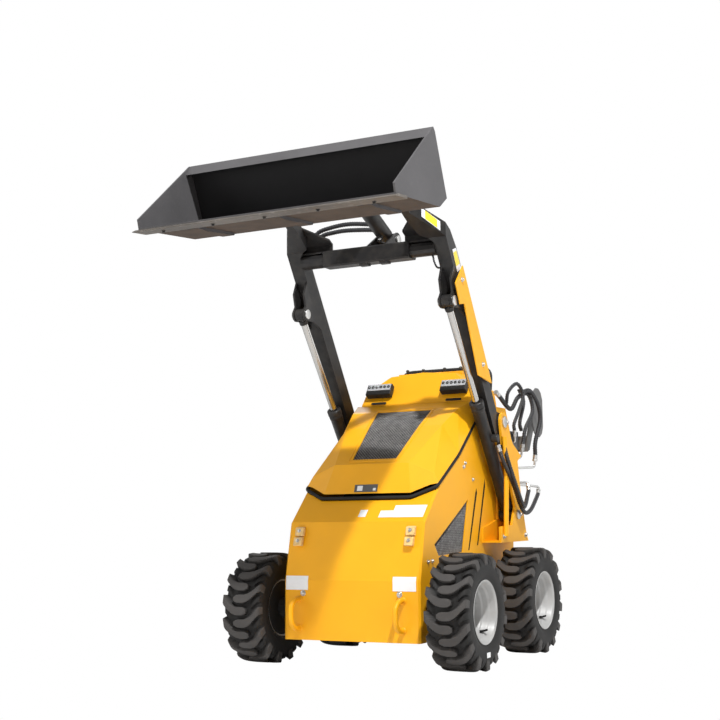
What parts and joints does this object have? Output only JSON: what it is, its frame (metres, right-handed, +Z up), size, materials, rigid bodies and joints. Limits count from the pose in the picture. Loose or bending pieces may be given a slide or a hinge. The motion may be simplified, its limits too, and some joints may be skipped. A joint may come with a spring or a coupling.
{
  "type": "wheeled skid steer loader",
  "caption": "Compact stand-on skid steer loader with lift arms raised, a wide bucket held level, lugged tyres, hinged hood with grille and a folding operator's step",
  "frame": {"origin": "on the floor, in the middle of the machine's overall length and width", "axes": "X points to the machine's left, Y to its rear where the operator stands, Z up"},
  "size_m": [1.248, 2.286, 2.2619],
  "materials": {
    "yellow_paint": "gloss yellow paint",
    "black_paint": "satin black paint",
    "tyre_rubber": "dull moulded rubber",
    "rim_paint": "white paint",
    "bare_steel": "turned steel",
    "chrome_rod": "hard chrome",
    "seal_rubber": "matt rubber",
    "black_plastic": "matt moulded plastic",
    "amber_plastic": "cast polyurethane",
    "engine_iron": "painted iron"
  },
  "bodies": {
    "frame": {"body_shell": "yellow_paint", "floor_pan": "black_paint", "rear_cover": "yellow_paint", "engine": "engine_iron", "engine_mounts": "black_paint", "side_grilles": "black_paint", "hood_seal": "seal_rubber", "console": "yellow_paint", "work_lamps": "black_plastic", "control_levers": "black_plastic", "grab_bar": "black_paint", "hip_guards": "black_paint", "tower_left": "yellow_paint", "tower_right": "yellow_paint", "frame_pins": "bare_steel", "tower_pipes": "bare_steel", "wheel_spindles": "black_paint", "step_brackets": "black_paint", "bumper_pads": "amber_plastic", "tie_hooks": "yellow_paint"},
    "arms": {"lift_arm_left": "black_paint", "lift_arm_right": "black_paint", "crossbeam": "black_paint", "tip_pins": "bare_steel", "arm_locks": "yellow_paint", "arm_pipes": "bare_steel"},
    "lift_body_left": {"lift_barrel_left": "black_paint"},
    "lift_body_right": {"lift_barrel_right": "black_paint"},
    "lift_ram_left": {"lift_rod_left": "chrome_rod"},
    "lift_ram_right": {"lift_rod_right": "chrome_rod"},
    "tilt_body": {"tilt_barrel": "black_paint"},
    "tilt_ram": {"tilt_rod": "chrome_rod"},
    "bucket_group": {"attachment_plate": "black_paint", "bucket": "black_paint", "cutting_edge": "bare_steel"},
    "hood_lid": {"hood": "yellow_paint", "hood_grille": "black_paint"},
    "step_board": {"step": "black_paint"},
    "wheel_front_left": {"tyre_front_left": "tyre_rubber", "rim_front_left": "rim_paint"},
    "wheel_front_right": {"tyre_front_right": "tyre_rubber", "rim_front_right": "rim_paint"},
    "wheel_rear_left": {"tyre_rear_left": "tyre_rubber", "rim_rear_left": "rim_paint"},
    "wheel_rear_right": {"tyre_rear_right": "tyre_rubber", "rim_rear_right": "rim_paint"}
  },
  "joints": [
    {"name": "arm_lift", "type": "hinge", "parent": "frame", "child": "arms", "pos_m": [0, 0.428, 1.112], "axis": [1, 0, 0], "range_deg": [0, 85]},
    {"name": "bucket_tilt", "type": "hinge", "parent": "arms", "child": "bucket_group", "pos_m": [0, -0.567, 2.14], "axis": [-1, 0, 0], "range_deg": [-30, 100]},
    {"name": "hood_hinge", "type": "hinge", "parent": "frame", "child": "hood_lid", "pos_m": [0, 0.335, 1.208], "axis": [-1, 0, 0], "range_deg": [0, 65]},
    {"name": "step_fold", "type": "hinge", "parent": "frame", "child": "step_board", "pos_m": [0, 0.795, 0.236], "axis": [1, 0, 0], "range_deg": [0, 90]},
    {"name": "lift_swing_left", "type": "hinge", "parent": "frame", "child": "lift_body_left", "pos_m": [0.385, 0.585, 0.662], "axis": [1, 0, 0], "range_deg": [-0.2, 58.2]},
    {"name": "lift_stroke_left", "type": "slide", "parent": "lift_body_left", "child": "lift_ram_left", "axis": [0, -0.5856, 0.8106], "range_m": [-0.4745, 0.001]},
    {"name": "lift_swing_right", "type": "hinge", "parent": "frame", "child": "lift_body_right", "pos_m": [-0.385, 0.585, 0.662], "axis": [1, 0, 0], "range_deg": [-0.2, 58.2]},
    {"name": "lift_stroke_right", "type": "slide", "parent": "lift_body_right", "child": "lift_ram_right", "axis": [0, -0.5856, 0.8106], "range_m": [-0.4745, 0.001]},
    {"name": "tilt_swing", "type": "hinge", "parent": "arms", "child": "tilt_body", "pos_m": [0.045, -0.022, 1.975], "axis": [-1, 0, 0], "range_deg": [-2, 2]},
    {"name": "tilt_stroke", "type": "slide", "parent": "tilt_body", "child": "tilt_ram", "axis": [0, -0.9125, 0.4091], "range_m": [-0.155, 0.047]},
    {"name": "spin_front_left", "type": "hinge", "parent": "frame", "child": "wheel_front_left", "pos_m": [0.5005, -0.257, 0.252], "axis": [1, 0, 0], "continuous": true},
    {"name": "spin_front_right", "type": "hinge", "parent": "frame", "child": "wheel_front_right", "pos_m": [-0.5005, -0.257, 0.252], "axis": [1, 0, 0], "continuous": true},
    {"name": "spin_rear_left", "type": "hinge", "parent": "frame", "child": "wheel_rear_left", "pos_m": [0.5005, 0.511, 0.252], "axis": [1, 0, 0], "continuous": true},
    {"name": "spin_rear_right", "type": "hinge", "parent": "frame", "child": "wheel_rear_right", "pos_m": [-0.5005, 0.511, 0.252], "axis": [1, 0, 0], "continuous": true}
  ],
  "couplings": [
    {"joint": "lift_swing_left", "follows": "arm_lift", "ratio": 0.68339},
    {"joint": "lift_stroke_left", "follows": "arm_lift", "m_per_rad": -0.31918},
    {"joint": "lift_swing_right", "follows": "arm_lift", "ratio": 0.68339},
    {"joint": "lift_stroke_right", "follows": "arm_lift", "m_per_rad": -0.31918},
    {"joint": "tilt_swing", "follows": "bucket_tilt", "ratio": -0.01811},
    {"joint": "tilt_stroke", "follows": "bucket_tilt", "m_per_rad": -0.088306}
  ]
}
